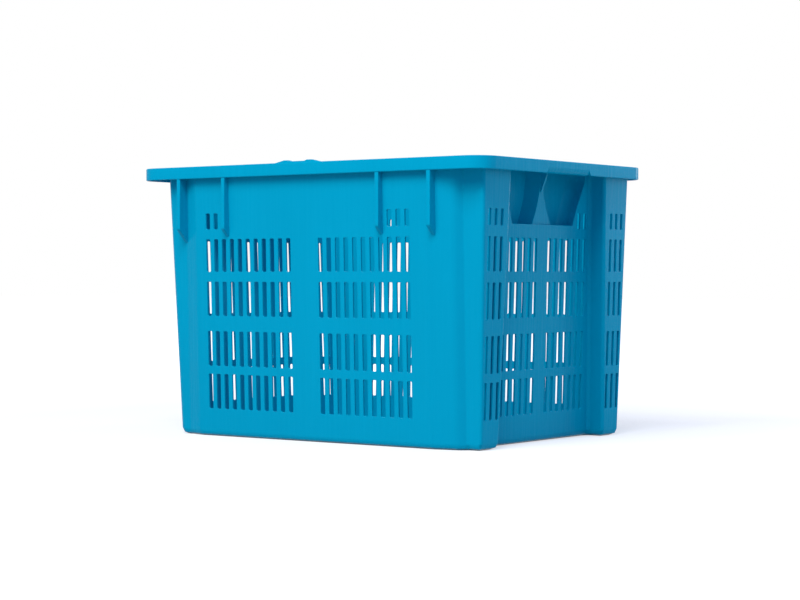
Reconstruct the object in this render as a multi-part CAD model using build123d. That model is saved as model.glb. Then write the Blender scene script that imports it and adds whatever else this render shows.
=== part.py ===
"""Vented stack-and-nest harvest basket.

One tall moulded basket, open at the top, with slotted walls that draw in towards the ground.
Turned one way a second basket nests in it, turned half round it stands on the rim: so the right
end has proud corner posts and a sunk middle, and the left end has sunk corners and a proud middle.
X runs along the long side, Y across it, Z up. The origin is on the ground under the middle.
"""
from build123d import *
from math import cos, radians, sin
import os

# Overall sizes, millimetres
RIM_LENGTH = 610.0
RIM_WIDTH = 423.0
HEIGHT = 385.6
WALL = 2.8
FLOOR = 3.0
HALF_LENGTH = RIM_LENGTH / 2
HALF_WIDTH = RIM_WIDTH / 2

# Rim: a flat plate with a skirt turned down from its outer edge
RIM_PLATE = 3.0
RIM_CORNER_RADIUS = 32.0
RIM_EDGE_CHAMFER = 1.0
SKIRT_DEPTH = 17.4
SKIRT_WALL = 2.8
RIM_CORNER_LENGTH = 55.0
PLATE_UNDERSIDE = HEIGHT - RIM_PLATE
SKIRT_BOTTOM = HEIGHT - SKIRT_DEPTH
SKIRT_INNER = HALF_WIDTH - SKIRT_WALL

# Distance from the rim edge to each outer face, at the level of the rim
RIGHT_POST_INSET = 14.5
RIGHT_RECESS_DEPTH = 25.3
LEFT_CORNER_INSET = 42.2
LEFT_BULGE_DEPTH = 36.0
SIDE_INSET = 8.7
SIDE_SHOULDER = 7.4
SIDE_POST_SET_BACK = 16.7

# How far each face has drawn in at the ground
RIGHT_DRAFT = 12.2
LEFT_DRAFT = 16.6
SIDE_DRAFT = 10.5

# Widths of the right posts and the left corners, measured in from the rim's long edges
RIGHT_POST_TOP_WIDTH = 93.2
RIGHT_POST_BOTTOM_WIDTH = 78.7
LEFT_CORNER_TOP_WIDTH = 83.5
LEFT_CORNER_BOTTOM_WIDTH = 85.5
RECESS_HALF_TOP = HALF_WIDTH - RIGHT_POST_TOP_WIDTH
RECESS_HALF_BOTTOM = HALF_WIDTH - RIGHT_POST_BOTTOM_WIDTH
BULGE_HALF_TOP = HALF_WIDTH - LEFT_CORNER_TOP_WIDTH
BULGE_HALF_BOTTOM = HALF_WIDTH - LEFT_CORNER_BOTTOM_WIDTH

# Where the side walls step back towards the posts, measured in from the rim's short edges
RIGHT_FLAT_DISTANCE = 94.5
RIGHT_SHOULDER_DISTANCE = 58.5
RIGHT_STEP_DISTANCE = 48.0
LEFT_FLAT_DISTANCE = 105.5
LEFT_SHOULDER_DISTANCE = 80.5
RIGHT_FLAT_X = HALF_LENGTH - RIGHT_FLAT_DISTANCE
RIGHT_SHOULDER_X = HALF_LENGTH - RIGHT_SHOULDER_DISTANCE
RIGHT_STEP_END_X = HALF_LENGTH - RIGHT_STEP_DISTANCE
LEFT_FLAT_X = HALF_LENGTH - LEFT_FLAT_DISTANCE
LEFT_SHOULDER_X = HALF_LENGTH - LEFT_SHOULDER_DISTANCE

# Radii of the upright edges and of the edge round the ground
POST_RADIUS = 4.5
LEFT_CORNER_RADIUS = 12.0
INNER_CORNER_RADIUS = 5.0
FLOW_RADIUS = 20.0
GROUND_RADIUS = 9.0
SMALLEST_RADIUS = 0.6

# Seams between regions: how far a wall stops short of its bend, and a panel of its corner
WALL_SEAM = 4.0
PANEL_SEAM = 0.5
WALL_LEFT_X = LEFT_FLAT_X - WALL_SEAM
WALL_RIGHT_X = RIGHT_FLAT_X - WALL_SEAM
PANEL_EDGE = INNER_CORNER_RADIUS + PANEL_SEAM

# Slot rows, as shares of the height
SLOT_WIDTH = 7.6
POST_SLOT_WIDTH = 6.2
ROW_SHARES = [(0.1027, 0.2316), (0.2612, 0.3903), (0.4466, 0.5731), (0.6100, 0.7303)]
SHORT_ROW_SHARE = (0.7669, 0.8257)
ROW_HEIGHTS = [(low * HEIGHT, high * HEIGHT) for low, high in ROW_SHARES]
SHORT_ROW = (SHORT_ROW_SHARE[0] * HEIGHT, SHORT_ROW_SHARE[1] * HEIGHT)

# Slot columns: the first from the middle, the count, and the land left beyond the last
SIDE_FIRST_COLUMN = 28.4
SIDE_COLUMNS = 11
SIDE_SHORT_COLUMNS = 3
SIDE_LAND = 22.9
SIDE_LAST_COLUMN = LEFT_FLAT_X - SIDE_LAND
RIGHT_END_FIRST_COLUMN = 17.6
RIGHT_END_COLUMNS = 7
RIGHT_END_SHORT_COLUMNS = 2
RIGHT_END_LAND = 8.9
RIGHT_END_LAST_COLUMN = RECESS_HALF_TOP - RIGHT_END_LAND
RIGHT_END_PITCH = (RIGHT_END_LAST_COLUMN - RIGHT_END_FIRST_COLUMN) / (RIGHT_END_COLUMNS - 1)
LEFT_END_FIRST_COLUMN = 22.0
LEFT_END_COLUMNS = 5
LEFT_END_LAND = 9.6
LEFT_END_LAST_COLUMN = BULGE_HALF_BOTTOM - LEFT_END_LAND
POST_COLUMNS = 3
RIGHT_POST_INNER_LAND = 7.2
RIGHT_POST_OUTER_LAND = 6.8
RIGHT_POST_FIRST_COLUMN = RECESS_HALF_BOTTOM + RIGHT_POST_INNER_LAND
RIGHT_POST_LAST_COLUMN = HALF_WIDTH - SIDE_INSET - SIDE_DRAFT - SIDE_POST_SET_BACK - RIGHT_POST_OUTER_LAND
LEFT_POST_INNER_LAND = 12.0
LEFT_POST_OUTER_LAND = 17.9
LEFT_POST_FIRST_COLUMN = BULGE_HALF_TOP + LEFT_POST_INNER_LAND
LEFT_POST_LAST_COLUMN = HALF_WIDTH - SIDE_INSET - SIDE_DRAFT - SIDE_SHOULDER - LEFT_POST_OUTER_LAND

# Floor slots, with the land left round them and the bars between their rows
FLOOR_SLOT_WIDTH = 8.0
FLOOR_COLUMNS = 20
FLOOR_ROWS = 3
FLOOR_END_LAND = 86.5
FLOOR_SIDE_LAND = 53.5
FLOOR_BAR = 20.0
FLOOR_LAST_COLUMN = HALF_LENGTH - FLOOR_END_LAND
FLOOR_SLOT_LENGTH = (RIM_WIDTH - 2 * FLOOR_SIDE_LAND - (FLOOR_ROWS - 1) * FLOOR_BAR) / FLOOR_ROWS

# Hand pockets under the grips, measured down from the rim, and the land beside their mouths
POCKET_FLOOR_DROP = 85.2
POCKET_MIDDLE_DROP = 60.6
POCKET_FLARE_DROP = 22.6
POCKET_POST_LAND = 2.0
POCKET_SLOT_LAND = 0.5
POCKET_FLOOR_TAPER = 10.0
RIGHT_POCKET_DEPTH = 22.0
LEFT_POCKET_DEPTH = 36.0
POCKET_FLARE_RADIUS = 30.0
POCKET_SCOOP_RADIUS = 14.0
POCKET_FLOOR_Z = HEIGHT - POCKET_FLOOR_DROP
POCKET_TOP_HALF = RECESS_HALF_TOP - PANEL_EDGE - WALL - POCKET_POST_LAND
POCKET_MIDDLE_HALF = RIGHT_END_LAST_COLUMN - RIGHT_END_PITCH - SLOT_WIDTH / 2 - WALL - POCKET_SLOT_LAND
POCKET_FLOOR_HALF = POCKET_MIDDLE_HALF - POCKET_FLOOR_TAPER

# Fin in the middle of each pocket, measured down from the rim
FIN_SET_BACK = 3.0
FIN_BASE_HALF = 24.0
FIN_MIDDLE_HALF = 9.0
FIN_MIDDLE_DROP = 53.6
FIN_NECK_HALF = 2.2
FIN_NECK_DROP = 21.6
FIN_ROOT_SPREAD = 9.0
FIN_BLADE_DROP = 42.6
RIGHT_FIN_REACH = 15.0
LEFT_FIN_REACH = 2.0

# Rolled grip lips, wider at the bottom of the skirt
GRIP_TOP_HALF = 48.5
GRIP_BOTTOM_HALF = 57.0
GRIP_ROLL_RADIUS = 9.0

# Gusset ribs between the side walls and the rim, measured in from the rim's edges and down from it
OUTER_GUSSET_DISTANCE = 83.6
INNER_GUSSET_DISTANCE = 168.4
GUSSET_THICKNESS = 6.4
GUSSET_SET_BACK = 0.6
GUSSET_DROP = 100.6
GUSSET_SLOPE_HEIGHT = 11.0
GUSSET_CORNER_RADIUS = 5.0
GUSSET_BOTTOM_Z = HEIGHT - GUSSET_DROP

# Locating nibs on the rim. They and the gussets sit a little left of the middle
RIB_SHIFT = -3.2
NIB_SPAN = 40.5
NIB_CROWN_START = 16.5
NIB_CROWN_END = 24.5
NIB_HEIGHT = 3.4
NIB_SADDLE = 1.9
NIB_SADDLE_END = 12.0
NIB_CORNER_RADIUS = 4.0
NIB_THICKNESS = 6.0

# Reach of cutting blocks past what they cut, and the cut that parts front from back
BEYOND = 40.0
SPLIT_Y = HALF_WIDTH / 2


def at_level(top, bottom, z):
    """Return the value at height z of something that runs evenly from the rim to the ground."""
    return top + (bottom - top) * (HEIGHT - z) / HEIGHT


def drawn_in(z, draft):
    """Return how far a face with this draft has drawn in at height z."""
    return at_level(0.0, draft, z)


def right_post_face(z):
    """Return X of the right posts' outer face."""
    return HALF_LENGTH - RIGHT_POST_INSET - drawn_in(z, RIGHT_DRAFT)


def right_recess_face(z):
    """Return X of the right end panel's outer face."""
    return right_post_face(z) - RIGHT_RECESS_DEPTH


def left_corner_face(z):
    """Return X of the left corners' outer face, as a positive distance."""
    return HALF_LENGTH - LEFT_CORNER_INSET - drawn_in(z, LEFT_DRAFT)


def left_bulge_face(z):
    """Return X of the left end panel's outer face, as a positive distance."""
    return left_corner_face(z) + LEFT_BULGE_DEPTH


def side_face(z):
    """Return Y of the side walls' flat outer face."""
    return HALF_WIDTH - SIDE_INSET - drawn_in(z, SIDE_DRAFT)


def recess_half(z):
    """Return the half width of the right end's sunk middle."""
    return at_level(RECESS_HALF_TOP, RECESS_HALF_BOTTOM, z)


def bulge_half(z):
    """Return the half width of the left end's proud middle."""
    return at_level(BULGE_HALF_TOP, BULGE_HALF_BOTTOM, z)


def front_corners(z, inset):
    """Return the plan corners of the front half as (x, y, radius), left to right."""
    left_outer = inset - left_bulge_face(z)
    left_inner = inset - left_corner_face(z)
    right_outer = right_post_face(z) - inset
    right_inner = right_recess_face(z) - inset
    bulge = inset - bulge_half(z)
    recess = -recess_half(z) - inset
    flat = inset - side_face(z)
    shoulder = flat + SIDE_SHOULDER
    post = flat + SIDE_POST_SET_BACK
    post_round = max(POST_RADIUS - inset, SMALLEST_RADIUS)
    left_round = max(LEFT_CORNER_RADIUS - inset, SMALLEST_RADIUS)
    flow_round = max(FLOW_RADIUS - inset, SMALLEST_RADIUS)
    flow_hollow = FLOW_RADIUS + inset
    hollow = INNER_CORNER_RADIUS + inset
    return [
        (left_outer, bulge, post_round),
        (left_inner, bulge, hollow),
        (left_inner, shoulder, left_round),
        (-LEFT_SHOULDER_X, shoulder, flow_hollow),
        (-LEFT_FLAT_X, flat, flow_round),
        (RIGHT_FLAT_X, flat, flow_round),
        (RIGHT_SHOULDER_X, shoulder, flow_round),
        (RIGHT_STEP_END_X, post, hollow),
        (right_outer, post, post_round),
        (right_outer, recess, post_round),
        (right_inner, recess, hollow),
    ]


def plan(z, inset):
    """Return the basket's plan at height z, drawn in all round by inset, as a face."""
    front = front_corners(z, inset)
    back = [(x, -y, radius) for x, y, radius in reversed(front)]
    corners = front + back
    points = [(x, y) for x, y, radius in corners]
    radii = [radius for x, y, radius in corners]
    return Pos(0, 0, z) * make_face(FilletPolyline(*points, radius=radii, close=True))


def drafted(levels):
    """Return the solid through the plans at these (height, inset) levels."""
    return loft([plan(z, inset) for z, inset in levels], ruled=True)


def outer_form():
    """Return the basket's filled outer form, with its rounded edge round the ground."""
    half_turn = radians(45)
    middle = GROUND_RADIUS * (1 - cos(half_turn))
    return drafted([(0, GROUND_RADIUS), (middle, GROUND_RADIUS * (1 - sin(half_turn))),
                    (GROUND_RADIUS, 0), (HEIGHT, 0)])


def inner_form():
    """Return the room inside the basket, from the floor to the rim."""
    hollow = GROUND_RADIUS - WALL
    return drafted([(FLOOR, WALL + hollow), (FLOOR + hollow, WALL), (HEIGHT, WALL)])


def block(x0, x1, y0, y1, z0, z1):
    """Return the box between two corners."""
    size = (x1 - x0, y1 - y0, z1 - z0)
    return Pos((x0 + x1) / 2, (y0 + y1) / 2, (z0 + z1) / 2) * Box(*size)


def end_zone(x0, x1, half_width, extra):
    """Return the room between x0 and x1 across a middle whose half width changes with height."""
    sections = []
    for z in (-BEYOND, HEIGHT + BEYOND):
        width = 2 * (half_width(z) + extra)
        sections.append(Pos((x0 + x1) / 2, 0, z) * Rectangle(x1 - x0, width))
    return loft(sections, ruled=True)


def side_slots(side):
    """Return the slots of one side wall: two fields of columns, and a short row at their outer ends."""
    slots = []
    columns = columns_between(SIDE_FIRST_COLUMN, SIDE_LAST_COLUMN, SIDE_COLUMNS)
    for hand in (-1, 1):
        for number, column in enumerate(columns):
            x = hand * column
            y = side * HALF_WIDTH
            rows = list(ROW_HEIGHTS)
            if number >= SIDE_COLUMNS - SIDE_SHORT_COLUMNS:
                rows.append(SHORT_ROW)
            for low, high in rows:
                slots.append(block(x - SLOT_WIDTH / 2, x + SLOT_WIDTH / 2, y - BEYOND, y + BEYOND, low, high))
    return slots


def end_slots(x, columns, rows, width):
    """Return slots through an end face near x, at these columns on both sides of the middle."""
    slots = []
    for hand in (-1, 1):
        for column in columns:
            y = hand * column
            for low, high in rows:
                slots.append(block(x - BEYOND, x + BEYOND, y - width / 2, y + width / 2, low, high))
    return slots


def columns_between(first, last, count):
    """Return this many evenly spaced column places."""
    return [first + (last - first) * index / (count - 1) for index in range(count)]


def pocket_side(grow, top):
    """Return the right side of a pocket's mouth as (y, z), from its floor up, grown all round by a wall."""
    return [
        (POCKET_FLOOR_HALF + grow, POCKET_FLOOR_Z - grow),
        (POCKET_MIDDLE_HALF + grow, HEIGHT - POCKET_MIDDLE_DROP),
        (POCKET_TOP_HALF + grow, HEIGHT - POCKET_FLARE_DROP),
        (POCKET_TOP_HALF + grow, top),
    ]


def pocket_prism(grow, x0, x1, top=PLATE_UNDERSIDE):
    """Return the scooped pocket from its back at x0 to x1, up to the underside of the rim unless told."""
    right = pocket_side(grow, top)
    left = [(-y, z) for y, z in reversed(right)]
    bend = POCKET_FLARE_RADIUS
    outline = FilletPolyline(*(right + left), radius=[0, bend, bend, 0, 0, bend, bend, 0], close=True)
    mouth = make_face(Plane.YZ * outline)
    prism = Pos(x0, 0, 0) * extrude(mouth, amount=x1 - x0, dir=(1, 0, 0))
    back = prism.faces().sort_by(Axis.X)[0]
    scooped = [edge for edge in back.edges() if abs(edge.center().Y) > POCKET_FLOOR_HALF / 2]
    return fillet(scooped, POCKET_SCOOP_RADIUS + grow)


def grip_gap(x0):
    """Return the flared room from x0 out to the right rim edge that the rolled lip fills."""
    corners = [
        (GRIP_BOTTOM_HALF, SKIRT_BOTTOM),
        (GRIP_TOP_HALF, PLATE_UNDERSIDE),
        (-GRIP_TOP_HALF, PLATE_UNDERSIDE),
        (-GRIP_BOTTOM_HALF, SKIRT_BOTTOM),
    ]
    face = make_face(Plane.YZ * Polyline(*corners, close=True))
    return Pos(x0, 0, 0) * extrude(face, amount=HALF_LENGTH - x0, dir=(1, 0, 0))


def grip_lip():
    """Return the rolled lip that takes the skirt's place over the right hand pocket."""
    roll_x = HALF_LENGTH - GRIP_ROLL_RADIUS
    roll_z = SKIRT_BOTTOM + GRIP_ROLL_RADIUS
    inner_radius = GRIP_ROLL_RADIUS - SKIRT_WALL
    half_turn = radians(45)
    outer_mid = (roll_x + GRIP_ROLL_RADIUS * cos(half_turn), roll_z - GRIP_ROLL_RADIUS * sin(half_turn))
    inner_mid = (roll_x + inner_radius * cos(half_turn), roll_z - inner_radius * sin(half_turn))
    edges = [
        Line((HALF_LENGTH, PLATE_UNDERSIDE), (HALF_LENGTH, roll_z)),
        ThreePointArc((HALF_LENGTH, roll_z), outer_mid, (roll_x, SKIRT_BOTTOM)),
        Line((roll_x, SKIRT_BOTTOM), (roll_x, SKIRT_BOTTOM + SKIRT_WALL)),
        ThreePointArc((roll_x, SKIRT_BOTTOM + SKIRT_WALL), inner_mid, (roll_x + inner_radius, roll_z)),
        Line((roll_x + inner_radius, roll_z), (roll_x + inner_radius, PLATE_UNDERSIDE)),
        Line((roll_x + inner_radius, PLATE_UNDERSIDE), (HALF_LENGTH, PLATE_UNDERSIDE)),
    ]
    section = make_face([Plane.XZ * edge for edge in edges])
    roll = Pos(0, GRIP_BOTTOM_HALF, 0) * extrude(section, amount=2 * GRIP_BOTTOM_HALF, dir=(0, -1, 0))
    return roll & grip_gap(roll_x)


def pocket_fin(back_x, face_x, reach):
    """Return the fin in the right pocket: broad at its foot, with a thin blade leaning out under the rim."""
    front_x = face_x(POCKET_FLOOR_Z) - FIN_SET_BACK
    depth = front_x - back_x
    foot = (FIN_BASE_HALF, POCKET_FLOOR_Z)
    middle = (FIN_MIDDLE_HALF, HEIGHT - FIN_MIDDLE_DROP)
    neck = (FIN_NECK_HALF, HEIGHT - FIN_NECK_DROP)
    top = (FIN_NECK_HALF, PLATE_UNDERSIDE)
    far_top = (-HALF_WIDTH, PLATE_UNDERSIDE)
    far_foot = (-HALF_WIDTH, POCKET_FLOOR_Z)
    edges = [
        ThreePointArc(foot, middle, neck),
        Line(neck, top),
        Line(top, far_top),
        Line(far_top, far_foot),
        Line(far_foot, foot),
    ]
    face = make_face([Pos(front_x, 0, 0) * (Plane.YZ * edge) for edge in edges])
    spread = Vector(-depth, FIN_ROOT_SPREAD, 0)
    flank = extrude(face, amount=spread.length, dir=spread.normalized())
    flare = flank & mirror(flank, about=Plane.XZ)
    tip = (front_x + reach, PLATE_UNDERSIDE)
    blade_z = HEIGHT - FIN_BLADE_DROP
    lean = [(back_x, blade_z), (front_x, blade_z), tip, (back_x, PLATE_UNDERSIDE)]
    web = make_face(Plane.XZ * Polyline(*lean, close=True))
    blade = Pos(0, FIN_NECK_HALF, 0) * extrude(web, amount=2 * FIN_NECK_HALF, dir=(0, -1, 0))
    return flare + blade


def gusset(x, outer):
    """Return one front gusset: a web from the wall to the skirt, with a sloped foot."""
    root = -SPLIT_Y
    edge = HALF_WIDTH - GUSSET_SET_BACK
    slope_top = GUSSET_BOTTOM_Z + GUSSET_SLOPE_HEIGHT
    wall_gap = edge - side_face(GUSSET_BOTTOM_Z)
    foot_z = slope_top - GUSSET_SLOPE_HEIGHT * (edge - SPLIT_Y) / wall_gap
    points = [
        (root, PLATE_UNDERSIDE),
        (-SKIRT_INNER, PLATE_UNDERSIDE),
        (-SKIRT_INNER, SKIRT_BOTTOM),
        (-edge, SKIRT_BOTTOM),
        (-edge, slope_top),
        (root, foot_z),
    ]
    outline = FilletPolyline(*points, radius=[0, 0, 0, 0, GUSSET_CORNER_RADIUS, 0], close=True)
    web = make_face(Plane.YZ * outline)
    solid = Pos(x - GUSSET_THICKNESS / 2, 0, 0) * extrude(web, amount=GUSSET_THICKNESS, dir=(1, 0, 0))
    return solid - outer


def nib():
    """Return the right one of the two nibs on the front rim, with half of the low saddle between them."""
    points = [
        (0, HEIGHT),
        (NIB_SPAN, HEIGHT),
        (NIB_CROWN_END, HEIGHT + NIB_HEIGHT),
        (NIB_CROWN_START, HEIGHT + NIB_HEIGHT),
        (NIB_SADDLE_END, HEIGHT + NIB_SADDLE),
        (0, HEIGHT + NIB_SADDLE),
    ]
    bend = NIB_CORNER_RADIUS
    section = make_face(Plane.XZ * FilletPolyline(*points, radius=[0, 0, bend, bend, bend, 0], close=True))
    y = RIM_EDGE_CHAMFER - HALF_WIDTH
    return Pos(0, y + NIB_THICKNESS, 0) * extrude(section, amount=NIB_THICKNESS, dir=(0, -1, 0))


def rim_ring(inner, covers):
    """Return the whole rim: its skirt and a flat plate, open over the room inside but not over the pockets."""
    outline = RectangleRounded(RIM_LENGTH, RIM_WIDTH, RIM_CORNER_RADIUS)
    plate = Pos(0, 0, PLATE_UNDERSIDE) * extrude(outline, amount=RIM_PLATE)
    plate = chamfer(plate.edges().group_by(Axis.Z)[-1], RIM_EDGE_CHAMFER)
    room = inner
    for cover in covers:
        room = room - cover
    plate = plate - room
    hollow = RectangleRounded(RIM_LENGTH - 2 * SKIRT_WALL, RIM_WIDTH - 2 * SKIRT_WALL,
                              RIM_CORNER_RADIUS - SKIRT_WALL)
    skirt = Pos(0, 0, SKIRT_BOTTOM) * extrude(outline - hollow, amount=PLATE_UNDERSIDE - SKIRT_BOTTOM)
    return plate + skirt


def mirrored_back(shape):
    """Return a front piece's twin at the back."""
    return mirror(shape, about=Plane.XZ)


def build():
    """Return every region of the basket by its node's name."""
    outer = outer_form()
    inner = inner_form()
    shell = (outer - inner) & block(-RIM_LENGTH, RIM_LENGTH, -RIM_WIDTH, RIM_WIDTH, FLOOR, PLATE_UNDERSIDE)
    nodes = {}

    right_back = right_recess_face(POCKET_FLOOR_Z) - RIGHT_POCKET_DEPTH
    left_back = left_bulge_face(POCKET_FLOOR_Z) - LEFT_POCKET_DEPTH
    right_prism = pocket_prism(WALL, right_back - WALL, HALF_LENGTH)
    left_prism = mirror(pocket_prism(WALL, left_back - WALL, HALF_LENGTH), about=Plane.YZ)
    right_room = pocket_prism(0, right_back, HALF_LENGTH)
    left_room = mirror(pocket_prism(0, left_back, HALF_LENGTH), about=Plane.YZ)

    far = RIM_LENGTH
    side_zone = block(-WALL_LEFT_X, WALL_RIGHT_X, -far, -SPLIT_Y, -BEYOND, far)
    right_middle = end_zone(WALL_RIGHT_X, far, recess_half, -PANEL_EDGE)
    left_middle = end_zone(-far, -WALL_LEFT_X, bulge_half, PANEL_EDGE)
    right_corner = block(WALL_RIGHT_X, far, -far, 0, -BEYOND, far) - right_middle
    left_corner = block(-far, -WALL_LEFT_X, -far, 0, -BEYOND, far) - left_middle

    nodes["front_wall"] = (shell & side_zone) - side_slots(-1)
    nodes["back_wall"] = mirrored_back(nodes["front_wall"])

    right_columns = columns_between(RIGHT_END_FIRST_COLUMN, RIGHT_END_LAST_COLUMN, RIGHT_END_COLUMNS)
    right_x = right_recess_face(HEIGHT / 2)
    panel_slots = end_slots(right_x, right_columns, ROW_HEIGHTS, SLOT_WIDTH)
    panel_slots += end_slots(right_x, right_columns[-RIGHT_END_SHORT_COLUMNS:], [SHORT_ROW], SLOT_WIDTH)
    nodes["right_end_panel"] = (shell & right_middle) - right_prism - panel_slots
    left_columns = columns_between(LEFT_END_FIRST_COLUMN, LEFT_END_LAST_COLUMN, LEFT_END_COLUMNS)
    left_x = -left_bulge_face(HEIGHT / 2)
    left_slots = end_slots(left_x, left_columns, ROW_HEIGHTS, SLOT_WIDTH)
    nodes["left_end_panel"] = (shell & left_middle) - left_prism - left_slots

    post_rows = ROW_HEIGHTS + [SHORT_ROW]
    right_post_columns = columns_between(RIGHT_POST_FIRST_COLUMN, RIGHT_POST_LAST_COLUMN, POST_COLUMNS)
    right_post_x = right_post_face(HEIGHT / 2) + BEYOND / 2
    right_post_slots = end_slots(right_post_x, right_post_columns, post_rows, POST_SLOT_WIDTH)
    nodes["front_right_post"] = (shell & right_corner) - right_post_slots
    nodes["back_right_post"] = mirrored_back(nodes["front_right_post"])
    left_post_columns = columns_between(LEFT_POST_FIRST_COLUMN, LEFT_POST_LAST_COLUMN, POST_COLUMNS)
    left_post_x = -left_corner_face(HEIGHT / 2) - BEYOND / 2
    left_post_slots = end_slots(left_post_x, left_post_columns, post_rows, POST_SLOT_WIDTH)
    nodes["front_left_post"] = (shell & left_corner) - left_post_slots
    nodes["back_left_post"] = mirrored_back(nodes["front_left_post"])

    nodes["right_hand_pocket"] = (right_prism - right_room) & outer
    nodes["left_hand_pocket"] = (left_prism - left_room) & outer
    nodes["right_pocket_fin"] = pocket_fin(right_back, right_recess_face, RIGHT_FIN_REACH)
    left_fin = pocket_fin(left_back, left_bulge_face, LEFT_FIN_REACH)
    nodes["left_pocket_fin"] = mirror(left_fin, about=Plane.YZ)

    floor = outer & block(-far, far, -far, far, -BEYOND, FLOOR)
    floor_slots = []
    for x in columns_between(-FLOOR_LAST_COLUMN, FLOOR_LAST_COLUMN, FLOOR_COLUMNS):
        for row in range(FLOOR_ROWS):
            y = (row - (FLOOR_ROWS - 1) / 2) * (FLOOR_SLOT_LENGTH + FLOOR_BAR)
            floor_slots.append(Pos(x, y, 0) * Box(FLOOR_SLOT_WIDTH, FLOOR_SLOT_LENGTH, BEYOND))
    nodes["floor"] = floor - floor_slots

    skirt_gap = grip_gap(HALF_LENGTH - SKIRT_WALL)
    cover_top = HEIGHT + BEYOND
    right_cover = pocket_prism(WALL, right_back - WALL, HALF_LENGTH, cover_top)
    left_cover = pocket_prism(WALL, left_back - WALL, HALF_LENGTH, cover_top)
    left_cover = mirror(left_cover, about=Plane.YZ)
    rim = rim_ring(inner, [right_cover, left_cover]) - skirt_gap - mirror(skirt_gap, about=Plane.YZ)
    corner_x = HALF_LENGTH - RIM_CORNER_LENGTH
    corner_y = HALF_WIDTH - RIM_CORNER_LENGTH
    nodes["front_rim_rail"] = rim & block(-corner_x, corner_x, -far, -corner_y, 0, far)
    nodes["back_rim_rail"] = mirrored_back(nodes["front_rim_rail"])
    nodes["right_rim_rail"] = rim & block(0, far, -corner_y, corner_y, 0, far)
    nodes["left_rim_rail"] = rim & block(-far, 0, -corner_y, corner_y, 0, far)
    nodes["front_right_rim_corner"] = rim & block(corner_x, far, -far, -corner_y, 0, far)
    nodes["back_right_rim_corner"] = mirrored_back(nodes["front_right_rim_corner"])
    nodes["front_left_rim_corner"] = rim & block(-far, -corner_x, -far, -corner_y, 0, far)
    nodes["back_left_rim_corner"] = mirrored_back(nodes["front_left_rim_corner"])
    nodes["right_grip_lip"] = grip_lip()
    nodes["left_grip_lip"] = mirror(grip_lip(), about=Plane.YZ)

    outer_x = HALF_LENGTH - OUTER_GUSSET_DISTANCE
    inner_x = HALF_LENGTH - INNER_GUSSET_DISTANCE
    for number, x in enumerate([-outer_x, -inner_x, inner_x, outer_x], 1):
        web = gusset(x + RIB_SHIFT, outer)
        nodes[f"front_gusset_{number}"] = web
        nodes[f"back_gusset_{number}"] = mirrored_back(web)
    nodes["front_nib_1"] = Pos(RIB_SHIFT, 0, 0) * mirror(nib(), about=Plane.YZ)
    nodes["front_nib_2"] = Pos(RIB_SHIFT, 0, 0) * nib()
    nodes["back_nib_1"] = mirrored_back(nodes["front_nib_1"])
    nodes["back_nib_2"] = mirrored_back(nodes["front_nib_2"])
    return nodes


if __name__ == "__main__":
    os.makedirs("parts", exist_ok=True)
    for name, shape in build().items():
        export_step(shape, f"parts/{name}.step")
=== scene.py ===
"""Look of the vented harvest basket: softened edges, moulded blue plastic, studio and camera."""

import logging
from dataclasses import dataclass, field
from enum import Enum
from math import radians
from typing import Any, ClassVar

import bmesh
import bpy
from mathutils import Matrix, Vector
from mathutils.bvhtree import BVHTree


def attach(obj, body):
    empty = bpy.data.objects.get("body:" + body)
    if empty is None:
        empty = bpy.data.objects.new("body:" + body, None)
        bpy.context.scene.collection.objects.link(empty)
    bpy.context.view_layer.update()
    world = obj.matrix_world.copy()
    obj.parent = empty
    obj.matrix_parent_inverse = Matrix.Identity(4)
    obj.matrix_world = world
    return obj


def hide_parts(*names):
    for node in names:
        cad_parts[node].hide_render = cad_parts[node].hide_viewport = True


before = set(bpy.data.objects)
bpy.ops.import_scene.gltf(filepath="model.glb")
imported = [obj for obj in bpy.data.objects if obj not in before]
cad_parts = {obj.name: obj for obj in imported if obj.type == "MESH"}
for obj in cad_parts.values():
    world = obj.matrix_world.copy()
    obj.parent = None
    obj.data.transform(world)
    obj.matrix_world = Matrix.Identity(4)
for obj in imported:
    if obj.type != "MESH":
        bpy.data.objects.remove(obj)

log = logging.getLogger("basket")

Colour = tuple[float, float, float]
Place = tuple[float, float, float]
MM = 0.001
BLACK: Colour = (0.0, 0.0, 0.0)
WHITE: Colour = (1.0, 1.0, 1.0)
OPAQUE = 1.0
NOISE_MIDDLE = 0.5


# Shader maths


class MathOp(Enum):
    """The sums that shader expressions use."""

    ADD = "ADD"
    SUBTRACT = "SUBTRACT"
    MULTIPLY = "MULTIPLY"
    DIVIDE = "DIVIDE"
    MAXIMUM = "MAXIMUM"
    MINIMUM = "MINIMUM"


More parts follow.
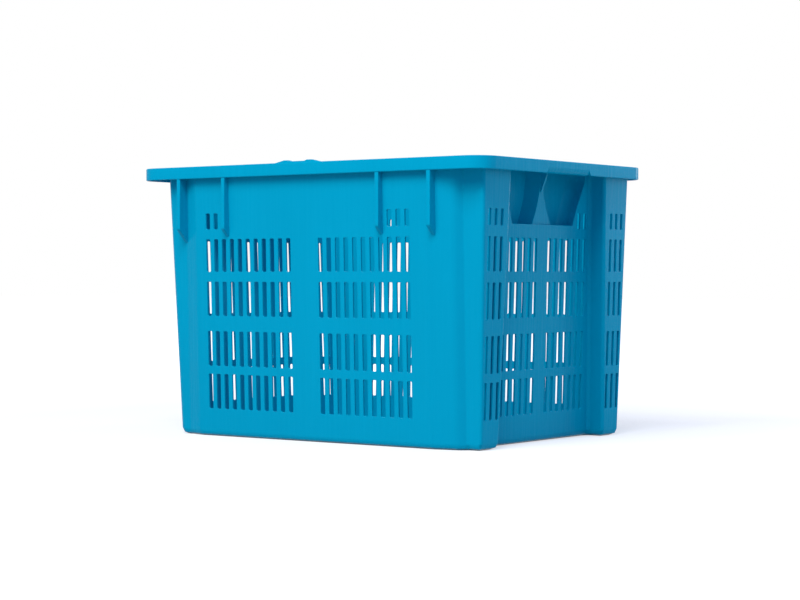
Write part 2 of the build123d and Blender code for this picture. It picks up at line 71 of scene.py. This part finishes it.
@dataclass(frozen=True)
class Value:
    """A number that changes over a surface: one output socket, with arithmetic.

    Attributes:
        graph: the graph that the socket is in.
        socket: the socket, or None behind a node that closes its graph.
    """

    graph: "Graph"
    socket: bpy.types.NodeSocket | None

    def _sum(self, op: MathOp, left: "Value | float", right: "Value | float") -> "Value":
        """Return the Math node's result for two numbers or values."""
        return self.graph.node("ShaderNodeMath", {"operation": op.value}, {0: left, 1: right})

    def __add__(self, other: "Value | float") -> "Value":
        """Return self + other."""
        return self._sum(MathOp.ADD, self, other)

    def __radd__(self, other: float) -> "Value":
        """Return other + self."""
        return self._sum(MathOp.ADD, other, self)

    def __sub__(self, other: "Value | float") -> "Value":
        """Return self - other."""
        return self._sum(MathOp.SUBTRACT, self, other)

    def __rsub__(self, other: float) -> "Value":
        """Return other - self."""
        return self._sum(MathOp.SUBTRACT, other, self)

    def __mul__(self, other: "Value | float") -> "Value":
        """Return self * other."""
        return self._sum(MathOp.MULTIPLY, self, other)

    def __rmul__(self, other: float) -> "Value":
        """Return other * self."""
        return self._sum(MathOp.MULTIPLY, other, self)

    def __truediv__(self, other: "Value | float") -> "Value":
        """Return self / other."""
        return self._sum(MathOp.DIVIDE, self, other)

    def __rtruediv__(self, other: float) -> "Value":
        """Return other / self."""
        return self._sum(MathOp.DIVIDE, other, self)

    def at_least(self, other: "Value | float") -> "Value":
        """Return the greater of self and other."""
        return self._sum(MathOp.MAXIMUM, self, other)

    def at_most(self, other: "Value | float") -> "Value":
        """Return the lesser of self and other."""
        return self._sum(MathOp.MINIMUM, self, other)


@dataclass
class Graph:
    """A node tree that a material or the world is written into.

    Attributes:
        tree: the node tree, which is emptied first.
    """

    tree: bpy.types.NodeTree
    MIX_SHARE: ClassVar[int] = 0
    MIX_FIRST: ClassVar[int] = 6
    MIX_SECOND: ClassVar[int] = 7
    MIX_RESULT: ClassVar[int] = 2

    def __post_init__(self) -> None:
        """Start from an empty tree."""
        self.tree.nodes.clear()

    def node(
        self, kind: str, settings: dict[str, Any], inputs: dict[str | int, Any], output: str | int = 0
    ) -> Value:
        """Add one node.

        Args:
            kind: the node's type name.
            settings: the node's own settings, set before its sockets.
            inputs: socket name or number to a number, vector, colour or value.
            output: the output socket's name or number.

        Returns:
            The chosen output.
        """
        made = self.tree.nodes.new(kind)
        for name, setting in settings.items():
            setattr(made, name, setting)
        for key, given in inputs.items():
            socket = made.inputs[key]
            if isinstance(given, Value):
                self.tree.links.new(given.socket, socket)
            elif socket.type == "RGBA":
                socket.default_value = (*given, OPAQUE)
            else:
                socket.default_value = given
        return Value(self, made.outputs[output] if made.outputs else None)

    def seen_directly(self) -> Value:
        """Tell what is looked at from what only sheds light.

        Returns:
            1 for camera rays, reflections and light passed through, and 0 for light that is shed.
        """
        rays = ("Is Camera Ray", "Is Glossy Ray", "Is Transmission Ray")
        camera, glossy, passed = (self.node("ShaderNodeLightPath", {}, {}, ray) for ray in rays)
        return camera.at_least(glossy).at_least(passed)

    def blend(self, share: Value, first: Colour | Value, second: Colour | Value) -> Value:
        """Return a colour that runs from the first at a share of 0 to the second at a share of 1."""
        inputs = {self.MIX_SHARE: share, self.MIX_FIRST: first, self.MIX_SECOND: second}
        return self.node("ShaderNodeMix", {"data_type": "RGBA"}, inputs, self.MIX_RESULT)

    def noise(self, place: Value, upright: float, cell: float, detail: float) -> Value:
        """Return a noise from 0 to 1, given its cells' size in metres and how far heights are squeezed."""
        mapped = self.node("ShaderNodeMapping", {}, {"Vector": place, "Scale": (1.0, 1.0, upright)})
        return self.node("ShaderNodeTexNoise", {}, {"Vector": mapped, "Scale": 1.0 / cell, "Detail": detail})


# Finishes


@dataclass(frozen=True)
class MouldedPlastic:
    """Satin polyethylene straight from the mould: faint flow clouds, draw lines and a fine grain.

    The colour runs between a deeper and a paler shade. Lengths are in metres.

    Attributes:
        name: the material's name.
        deep: the deeper shade.
        pale: the paler shade.
        roughness: the middle roughness.
        roughness_spread: how far draw lines and grain each change it.
        specular: the strength of reflections.
        cloud_size: the size of a flow cloud.
        cloud_squeeze: how much the clouds' heights are squeezed.
        cloud_detail: octaves of finer cloud.
        cloud_share: the clouds' part in the shade, of which draw lines have the rest.
        line_width: the width of a draw line.
        line_length: the length of a draw line.
        line_height: how far a draw line stands up.
        grain_size: the size of a grain.
        grain_height: how far a grain stands up.
        fine_detail: octaves of finer lines and grain.
    """

    name: str = "blue_plastic"
    deep: Colour = (0.0, 0.335, 0.51)
    pale: Colour = (0.0, 0.377, 0.57)
    roughness: float = 0.27
    roughness_spread: float = 0.08
    specular: float = 0.025
    cloud_size: float = 85.0 * MM
    cloud_squeeze: float = 0.6
    cloud_detail: float = 3.0
    cloud_share: float = 0.75
    line_width: float = 3.5 * MM
    line_length: float = 160.0 * MM
    line_height: float = 0.025 * MM
    grain_size: float = 1.1 * MM
    grain_height: float = 0.02 * MM
    fine_detail: float = 2.0

    def material(self) -> bpy.types.Material:
        """Make the plastic.

        Returns:
            The finished material.
        """
        made = bpy.data.materials.new(self.name)
        made.use_nodes = True
        made.diffuse_color = (*self.pale, OPAQUE)
        graph = Graph(made.node_tree)
        place = graph.node("ShaderNodeTexCoord", {}, {}, "Object")
        clouds = graph.noise(place, self.cloud_squeeze, self.cloud_size, self.cloud_detail)
        lines = graph.noise(place, self.line_width / self.line_length, self.line_width, self.fine_detail)
        grain = graph.noise(place, 1.0, self.grain_size, self.fine_detail)
        shade = clouds * self.cloud_share + lines * (1.0 - self.cloud_share)
        streaks = (lines - NOISE_MIDDLE) * self.roughness_spread
        specks = (grain - NOISE_MIDDLE) * self.roughness_spread
        height = grain * self.grain_height + lines * self.line_height
        bump = graph.node("ShaderNodeBump", {}, {"Height": height, "Strength": 1.0, "Distance": 1.0})
        surface = graph.node("ShaderNodeBsdfPrincipled", {}, {
            "Base Color": graph.blend(shade, self.deep, self.pale),
            "Roughness": self.roughness + streaks + specks,
            "Specular IOR Level": self.specular,
            "Normal": bump,
        })
        graph.node("ShaderNodeOutputMaterial", {}, {"Surface": surface})
        return made


@dataclass(frozen=True)
class PaleFloor:
    """A matt pale floor that keeps a soft shadow near the basket and looks white farther away.

    Lengths are in metres.

    Attributes:
        name: the material's name.
        shade: how pale the floor is to the light that falls on it.
        lift: how much it glows near the basket to whoever looks at it, where 1 is white.
        shadow_reach: the distance from the basket's middle at which the glow starts to grow.
        fade: the width over which it grows to white.
        roughness: how matt the floor is.
    """

    name: str = "pale_floor"
    shade: float = 0.5
    lift: float = 0.56
    shadow_reach: float = 0.7
    fade: float = 1.5
    roughness: float = 0.9

    def material(self) -> bpy.types.Material:
        """Make the floor's finish.

        Returns:
            The finished material.
        """
        made = bpy.data.materials.new(self.name)
        made.use_nodes = True
        graph = Graph(made.node_tree)
        seen = graph.seen_directly()
        place = graph.node("ShaderNodeTexCoord", {}, {}, "Object")
        away = graph.node("ShaderNodeVectorMath", {"operation": "LENGTH"}, {0: place}, "Value")
        far = ((away - self.shadow_reach) / self.fade).at_least(0.0).at_most(1.0)
        glow = graph.blend(far, (self.lift, self.lift, self.lift), WHITE)
        surface = graph.node("ShaderNodeBsdfPrincipled", {}, {
            "Base Color": (self.shade, self.shade, self.shade),
            "Roughness": self.roughness,
            "Specular IOR Level": 0.0,
            "Emission Color": graph.blend(seen, BLACK, glow),
            "Emission Strength": 1.0,
        })
        graph.node("ShaderNodeOutputMaterial", {}, {"Surface": surface})
        return made


# Regions of the moulding


@dataclass(frozen=True)
class Softening:
    """How a region's free edges are rounded. Lengths are in metres, angles in radians.

    Attributes:
        radius: how far the rounding of an edge reaches.
        segments: faces round an edge's bend.
        slot_corner: the radius of slot corners in the plane of the wall, or 0 where there are no slots.
        sharp: the bend above which an edge is sharp.
        slot_corner_segments: faces round a slot corner's bend.
        thinnest_wall: the least length of an edge that runs through a wall.
        thickest_wall: the greatest length of such an edge.
        widest_slot: the greatest width of a slot.
        flat: the bend below which two faces count as one.
        weld: the distance below which two points count as one.
        clearance: the distance to another region below which an edge is not free.
    """

    radius: float
    segments: int
    slot_corner: float
    sharp: float
    slot_corner_segments: int = 4
    thinnest_wall: float = 1.5 * MM
    thickest_wall: float = 4.2 * MM
    widest_slot: float = 12.0 * MM
    flat: float = radians(0.6)
    weld: float = 0.01 * MM
    clearance: float = 0.3 * MM


@dataclass
class Neighbours:
    """The surfaces of every region, to tell free edges from those that meet another region.

    Attributes:
        trees: each region's surface, by the region's name.
    """

    trees: dict[str, BVHTree] = field(default_factory=dict)

    @classmethod
    def from_frame(cls) -> "Neighbours":
        """Collect the surfaces of the loaded frame's nodes.

        Returns:
            The surfaces.
        """
        made = cls()
        for name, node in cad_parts.items():
            points = [vertex.co.copy() for vertex in node.data.vertices]
            faces = [tuple(face.vertices) for face in node.data.polygons]
            made.trees[name] = BVHTree.FromPolygons(points, faces)
        return made

    def touch(self, name: str, point: Vector, clearance: float) -> bool:
        """Return whether another region than the named one comes within the clearance of a point."""
        others = (tree for other, tree in self.trees.items() if other != name)
        return any(tree.find_nearest(point, clearance)[0] is not None for tree in others)


@dataclass
class MouldedRegion:
    """One region of the moulding, remade from its solid with rounded free edges.

    Attributes:
        node: the name of the region's node.
        softening: how its edges are rounded.
        neighbours: the surfaces of all regions.
        SAMPLES: where along an edge its distance to other regions is tried.
        MIDDLE_DIGITS: the digits to which slots' middles, in metres, are told apart.
    """

    node: str
    softening: Softening
    neighbours: Neighbours
    SAMPLES: ClassVar[tuple[float, ...]] = (0.2, 0.5, 0.8)
    MIDDLE_DIGITS: ClassVar[int] = 4

    def build(self) -> bpy.types.Object:
        """Remake the region.

        Returns:
            The region's object, which stands for its node.
        """
        shape = bmesh.new()
        shape.from_mesh(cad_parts[self.node].data)
        bmesh.ops.remove_doubles(shape, verts=shape.verts, dist=self.softening.weld)
        rounded = self._soften(shape)
        mesh = bpy.data.meshes.new(f"{self.node}_moulded")
        shape.to_mesh(mesh)
        shape.free()
        made = bpy.data.objects.new(f"{self.node}_moulded", mesh)
        bpy.context.scene.collection.objects.link(made)
        shading = made.modifiers.new("even_shading", "WEIGHTED_NORMAL")
        shading.keep_sharp = True
        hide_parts(self.node)
        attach(made, "root")
        log.info("%s: %d of its edges rounded, %d faces", self.node, rounded, len(mesh.polygons))
        return made

    def _soften(self, shape: bmesh.types.BMesh) -> int:
        """Round a region's slot corners and free edges, and shade it smooth between sharp edges.

        Args:
            shape: the region, as its solid gives it.

        Returns:
            How many free edges were rounded.
        """
        if self.softening.slot_corner:
            self._cut_through_slots(shape)
        self._merge_flat(shape)
        if self.softening.slot_corner:
            inner = [edge for edge in shape.edges if self._is_slot_corner(edge)]
            corners = [edge for edge in inner if self._is_in_flat_wall(edge)]
            self._round(shape, corners, self.softening.slot_corner, self.softening.slot_corner_segments)
        free = [edge for edge in shape.edges if self._is_sharp(edge) and self._is_free(edge)]
        self._round(shape, free, self.softening.radius, self.softening.segments)
        bmesh.ops.dissolve_degenerate(shape, dist=self.softening.weld, edges=shape.edges)
        for edge in shape.edges:
            edge.smooth = not self._is_sharp(edge)
        for face in shape.faces:
            face.smooth = True
        return len(free)

    def _merge_flat(self, shape: bmesh.types.BMesh) -> None:
        """Join faces that lie flat side by side, except across a seam."""
        bmesh.ops.dissolve_limit(shape, angle_limit=self.softening.flat, verts=shape.verts, edges=shape.edges,
                                 delimit={"SEAM"})

    def _cut_through_slots(self, shape: bmesh.types.BMesh) -> None:
        """Cut a region along the middle line of every slot.

        Flat faces then join the slots at mid-width and leave the slots' corners free to be rounded.

        Args:
            shape: the region, whose new edges become seams.
        """
        probe = shape.copy()
        self._merge_flat(probe)
        middles = {self._middle(face) for face in probe.faces if self._is_slot_end(face)}
        probe.free()
        for axis, offset in sorted(middles):
            normal = Vector()
            normal[axis] = 1.0
            everything = [*shape.verts, *shape.edges, *shape.faces]
            cut = bmesh.ops.bisect_plane(shape, geom=everything, dist=self.softening.weld,
                                         plane_co=normal * offset, plane_no=normal)
            for piece in cut["geom_cut"]:
                if isinstance(piece, bmesh.types.BMEdge):
                    piece.seam = True

    def _middle(self, face: bmesh.types.BMFace) -> tuple[int, float]:
        """Find the middle line of a slot.

        Args:
            face: the face at one end of the slot.

        Returns:
            The number of the axis across the slot, and the slot's middle along it.
        """
        across = next(edge for edge in face.edges if not self._is_slot_corner(edge))
        width = across.verts[1].co - across.verts[0].co
        axis = max(range(len(width)), key=lambda number: abs(width[number]))
        return axis, round(face.calc_center_median()[axis], self.MIDDLE_DIGITS)

    def _is_slot_end(self, face: bmesh.types.BMFace) -> bool:
        """Return whether a face has four sides, two of them as short as a slot is wide, and closes a slot."""
        across = [edge.calc_length() for edge in face.edges if not self._is_slot_corner(edge)]
        return len(face.edges) == 4 and len(across) == 2 and max(across) < self.softening.widest_slot

    @staticmethod
    def _round(shape: bmesh.types.BMesh, edges: list[bmesh.types.BMEdge], radius: float, segments: int) -> None:
        """Round edges of a mesh by a radius in metres, with so many faces round the bend."""
        bmesh.ops.bevel(shape, geom=edges, affect="EDGES", offset_type="OFFSET", offset=radius,
                        segments=segments, profile=0.5, clamp_overlap=False, material=-1)

    def _is_slot_corner(self, edge: bmesh.types.BMEdge) -> bool:
        """Return whether an edge runs through a wall in the corner of a slot."""
        through_wall = self.softening.thinnest_wall < edge.calc_length() < self.softening.thickest_wall
        return through_wall and self._is_sharp(edge) and not edge.is_convex

    @staticmethod
    def _is_in_flat_wall(edge: bmesh.types.BMEdge) -> bool:
        """Return whether an edge through a wall meets, at each end, only the two sides of one opening."""
        return all(len(vertex.link_edges) == 3 for vertex in edge.verts)

    def _is_sharp(self, edge: bmesh.types.BMEdge) -> bool:
        """Return whether an edge's faces meet at more than the sharp angle."""
        return edge.is_manifold and edge.calc_face_angle(0.0) > self.softening.sharp

    def _is_free(self, edge: bmesh.types.BMEdge) -> bool:
        """Try an edge's distance to the other regions.

        Args:
            edge: the edge.

        Returns:
            Whether it stays clear of them all.
        """
        start, end = (vertex.co for vertex in edge.verts)
        points = [start.lerp(end, share) for share in self.SAMPLES]
        return not any(self.neighbours.touch(self.node, point, self.softening.clearance) for point in points)


# Sub-assemblies


class Side(Enum):
    """The basket's long sides."""

    FRONT = "front"
    BACK = "back"


class End(Enum):
    """The basket's short ends."""

    RIGHT = "right"
    LEFT = "left"


def at_sides(kind: str) -> tuple[str, ...]:
    """Return the names of a kind of region that each long side has."""
    return tuple(f"{side.value}_{kind}" for side in Side)


def at_ends(kind: str) -> tuple[str, ...]:
    """Return the names of a kind of region that each end has."""
    return tuple(f"{end.value}_{kind}" for end in End)


def at_corners(kind: str) -> tuple[str, ...]:
    """Return the names of a kind of region that each corner has."""
    return tuple(f"{side.value}_{end.value}_{kind}" for side in Side for end in End)


def in_rows(kind: str, count: int) -> tuple[str, ...]:
    """Return the names of a kind of region that each long side has a numbered row of."""
    return tuple(f"{name}_{number}" for name in at_sides(kind) for number in range(1, count + 1))


@dataclass
class SubAssembly:
    """A group of the moulding's regions, built and dressed together.

    Lengths are in metres, angles in radians.

    Attributes:
        edge_radius: how far the rounding of free edges reaches.
        edge_segments: faces round an edge's bend.
        slot_corner: the radius of slot corners, or 0 where there are no slots.
        sharp: the bend above which an edge is sharp.
        made: the group's finished objects.
    """

    edge_radius: float
    edge_segments: int = 3
    slot_corner: float = 0.0
    sharp: float = radians(50.0)
    made: list[bpy.types.Object] = field(default_factory=list)

    def regions(self) -> tuple[str, ...]:
        """Return the names of the group's nodes."""
        raise NotImplementedError

    def build(self, neighbours: Neighbours) -> None:
        """Build every region of the group.

        Args:
            neighbours: the surfaces of all regions.
        """
        softening = Softening(self.edge_radius, self.edge_segments, self.slot_corner, self.sharp)
        for region in self.regions():
            self.made.append(MouldedRegion(region, softening, neighbours).build())

    def dress(self, plastic: bpy.types.Material) -> None:
        """Give every region of the group its plastic.

        Args:
            plastic: the finished material.
        """
        for piece in self.made:
            piece.data.materials.clear()
            piece.data.materials.append(plastic)


@dataclass
class Rim(SubAssembly):
    """The flat rim with its skirt."""

    edge_radius: float = 1.3 * MM

    def regions(self) -> tuple[str, ...]:
        """Return the four rails and the four corners."""
        return at_sides("rim_rail") + at_ends("rim_rail") + at_corners("rim_corner")


@dataclass
class GripLips(SubAssembly):
    """The rolled lips under the middle of the end rails."""

    edge_radius: float = 0.5 * MM

    def regions(self) -> tuple[str, ...]:
        """Return the lip of each end."""
        return at_ends("grip_lip")


@dataclass
class SlottedWalls(SubAssembly):
    """Thin walls whose slots have rounded corners."""

    edge_radius: float = 0.45 * MM
    edge_segments: int = 2
    slot_corner: float = 1.8 * MM
    sharp: float = radians(60.0)


@dataclass
class SideWalls(SlottedWalls):
    """The slotted long walls."""

    def regions(self) -> tuple[str, ...]:
        """Return the wall of each long side."""
        return at_sides("wall")


@dataclass
class EndPanels(SlottedWalls):
    """The slotted end panels: sunk at the right, proud at the left."""

    def regions(self) -> tuple[str, ...]:
        """Return the panel of each end."""
        return at_ends("end_panel")


@dataclass
class CornerPosts(SlottedWalls):
    """The slotted corner posts, whose outer slots leave little room for softer edges."""

    edge_radius: float = 0.25 * MM
    slot_corner: float = 1.6 * MM

    def regions(self) -> tuple[str, ...]:
        """Return the four posts."""
        return at_corners("post")


@dataclass
class HandPockets(SubAssembly):
    """The scooped hand pockets."""

    edge_radius: float = 0.8 * MM

    def regions(self) -> tuple[str, ...]:
        """Return the pocket of each end."""
        return at_ends("hand_pocket")


@dataclass
class PocketFins(SubAssembly):
    """The stiffening fin in each hand pocket."""

    edge_radius: float = 0.35 * MM

    def regions(self) -> tuple[str, ...]:
        """Return the fin of each end."""
        return at_ends("pocket_fin")


@dataclass
class Gussets(SubAssembly):
    """The rib webs between the long walls and the rim."""

    edge_radius: float = 0.9 * MM
    side_count: int = 4

    def regions(self) -> tuple[str, ...]:
        """Return each long side's row of webs."""
        return in_rows("gusset", self.side_count)


@dataclass
class Nibs(SubAssembly):
    """The locating nibs on the rim."""

    edge_radius: float = 0.7 * MM
    side_count: int = 2

    def regions(self) -> tuple[str, ...]:
        """Return each long side's row of nibs."""
        return in_rows("nib", self.side_count)


@dataclass
class BasketFloor(SubAssembly):
    """The slotted floor."""

    edge_radius: float = 0.5 * MM
    edge_segments: int = 2
    slot_corner: float = 2.0 * MM

    def regions(self) -> tuple[str, ...]:
        """Return the floor."""
        return ("floor",)


# Studio and camera


@dataclass(frozen=True)
class SoftLamp:
    """A soft light that faces a point. Lengths are in metres, power in watts.

    Attributes:
        name: the lamp's name.
        place: where its middle is.
        width: its width.
        height: its height.
        power: its power.
        colour: its colour.
        target: the point that it faces.
    """

    name: str
    place: Place
    width: float
    height: float
    power: float
    colour: Colour = WHITE
    target: Place = (0.0, 0.0, 0.2)

    def build(self) -> None:
        """Build the lamp, placed and turned."""
        light = bpy.data.lights.new(self.name, "AREA")
        light.energy = self.power
        light.color = self.colour
        light.shape = "RECTANGLE"
        light.size = self.width
        light.size_y = self.height
        made = bpy.data.objects.new(self.name, light)
        made.location = self.place
        made.rotation_euler = (Vector(self.target) - Vector(self.place)).to_track_quat("-Z", "Y").to_euler()
        bpy.context.scene.collection.objects.link(made)
        log.info("lamp %s", self.name)


@dataclass(frozen=True)
class Studio:
    """The pale floor, the white surroundings and the lamps. Lengths are in metres.

    Attributes:
        floor_half: half the floor's width.
        floor_finish: the floor's finish.
        ambient: the colour of the light that the surroundings shed.
        lamps: the lamps.
    """

    floor_half: float = 14.0
    floor_finish: PaleFloor = PaleFloor()
    ambient: Colour = (0.21, 0.265, 0.47)
    lamps: tuple[SoftLamp, ...] = (
        SoftLamp("front", place=(-0.4, -3.6, 3.4), width=1.6, height=1.6, power=86.0, colour=(1.0, 0.99, 0.91)),
        SoftLamp("front_right", place=(0.9, -2.4, 3.8), width=1.6, height=1.4, power=119.0,
                 colour=(0.93, 0.96, 1.0)),
        SoftLamp("right", place=(2.9, 0.9, 0.9), width=1.6, height=1.4, power=7.5, colour=(0.9, 0.93, 1.0)),
        SoftLamp("back_right", place=(0.85, 2.05, 0.62), width=0.5, height=0.9, power=14.0,
                 target=(0.3, 0.18, 0.3)),
    )

    def build(self) -> None:
        """Build the floor, the surroundings and the lamps."""
        self._lay_floor()
        self._surround()
        for lamp in self.lamps:
            lamp.build()

    def _lay_floor(self) -> None:
        """Lay the pale floor."""
        shape = bmesh.new()
        bmesh.ops.create_grid(shape, x_segments=1, y_segments=1, size=self.floor_half)
        mesh = bpy.data.meshes.new("floor_sweep")
        shape.to_mesh(mesh)
        shape.free()
        mesh.materials.append(self.floor_finish.material())
        sweep = bpy.data.objects.new("floor_sweep", mesh)
        bpy.context.scene.collection.objects.link(sweep)

    def _surround(self) -> None:
        """Make surroundings that light evenly and show white to the camera and to reflections."""
        world = bpy.data.worlds.new("surroundings")
        world.use_nodes = True
        bpy.context.scene.world = world
        graph = Graph(world.node_tree)
        colour = graph.blend(graph.seen_directly(), self.ambient, WHITE)
        sky = graph.node("ShaderNodeBackground", {}, {"Color": colour, "Strength": 1.0})
        graph.node("ShaderNodeOutputWorld", {}, {"Surface": sky})


@dataclass(frozen=True)
class PhotoView:
    """The camera at the photo's place.

    Attributes:
        place: where the camera is, in metres.
        turn: its turn about the upright, in degrees.
        dip: how far it looks down, in degrees.
        focal: its focal length, in pixels.
        width: the picture's width, in pixels.
        sensor: the sensor's width, in millimetres.
        LEVEL: the tilt of a camera that looks level, in degrees.
    """

    place: Place = (1.76389, -2.35523, 0.23126)
    turn: float = 36.57
    dip: float = 0.72
    focal: float = 2018.73
    width: float = 800.0
    sensor: float = 36.0
    LEVEL: ClassVar[float] = 90.0

    def build(self) -> None:
        """Build the camera and make it the scene's."""
        data = bpy.data.cameras.new("photo_view")
        data.sensor_width = self.sensor
        data.lens = self.focal / self.width * self.sensor
        made = bpy.data.objects.new("photo_view", data)
        made.location = self.place
        made.rotation_euler = (radians(self.LEVEL - self.dip), 0.0, radians(self.turn))
        bpy.context.scene.collection.objects.link(made)
        bpy.context.scene.camera = made
        bpy.context.scene.view_settings.view_transform = "Standard"


def main() -> None:
    """Build the basket's regions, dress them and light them."""
    logging.basicConfig(level=logging.INFO, format="%(message)s")
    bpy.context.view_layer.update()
    neighbours = Neighbours.from_frame()
    plastic = MouldedPlastic().material()
    for group in (SideWalls(), EndPanels(), CornerPosts(), HandPockets(), PocketFins(), BasketFloor(),
                  Rim(), GripLips(), Gussets(), Nibs()):
        group.build(neighbours)
        group.dress(plastic)
        log.info("%s: %d regions", type(group).__name__, len(group.made))
    Studio().build()
    PhotoView().build()


if __name__ == "__main__":
    main()
